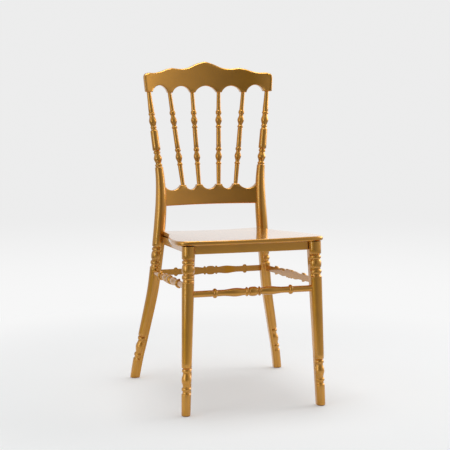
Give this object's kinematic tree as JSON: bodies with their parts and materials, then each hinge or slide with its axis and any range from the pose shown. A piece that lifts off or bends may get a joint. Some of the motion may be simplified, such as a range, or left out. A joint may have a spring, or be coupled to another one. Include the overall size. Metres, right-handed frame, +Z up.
{
  "type": "dining chair",
  "caption": "Napoleon-pattern dining chair in gold moulded resin: bowed serpentine crest, turned spindles, splayed ringed legs, thin dished seat and turned stretchers.",
  "frame": {"origin": "centre of the bounding box on the floor", "axes": "+Z up, the chair faces -Y, +X across it to the right of someone who looks along +Y"},
  "size_m": [0.4684, 0.502, 0.92],
  "materials": {
    "gold_resin": "metallic gold, moulded, mirror gloss",
    "screw_steel": "zinc-plated, satin",
    "glide_plastic": "moulded, matt brown"
  },
  "bodies": {
    "root": {"back_spindle_1": "gold_resin", "back_spindle_2": "gold_resin", "back_spindle_3": "gold_resin", "back_spindle_4": "gold_resin", "crest_rail": "gold_resin", "front_apron": "gold_resin", "front_left_bracket": "gold_resin", "front_left_bracket_to_front_apron_screw": "screw_steel", "front_left_bracket_to_left_apron_screw": "screw_steel", "front_left_bracket_to_seat_screw": "screw_steel", "front_left_glide": "glide_plastic", "front_left_leg": "gold_resin", "front_right_bracket": "gold_resin", "front_right_bracket_to_front_apron_screw": "screw_steel", "front_right_bracket_to_right_apron_screw": "screw_steel", "front_right_bracket_to_seat_screw": "screw_steel", "front_right_glide": "glide_plastic", "front_right_leg": "gold_resin", "front_stretcher": "gold_resin", "left_apron": "gold_resin", "left_rear_post": "gold_resin", "left_stretcher": "gold_resin", "lower_back_rail": "gold_resin", "rear_apron": "gold_resin", "rear_left_bracket": "gold_resin", "rear_left_bracket_to_left_apron_screw": "screw_steel", "rear_left_bracket_to_rear_apron_screw": "screw_steel", "rear_left_bracket_to_seat_screw": "screw_steel", "rear_left_glide": "glide_plastic", "rear_right_bracket": "gold_resin", "rear_right_bracket_to_rear_apron_screw": "screw_steel", "rear_right_bracket_to_right_apron_screw": "screw_steel", "rear_right_bracket_to_seat_screw": "screw_steel", "rear_right_glide": "glide_plastic", "rear_stretcher": "gold_resin", "right_apron": "gold_resin", "right_rear_post": "gold_resin", "right_stretcher": "gold_resin", "seat_panel": "gold_resin"}
  },
  "joints": []
}
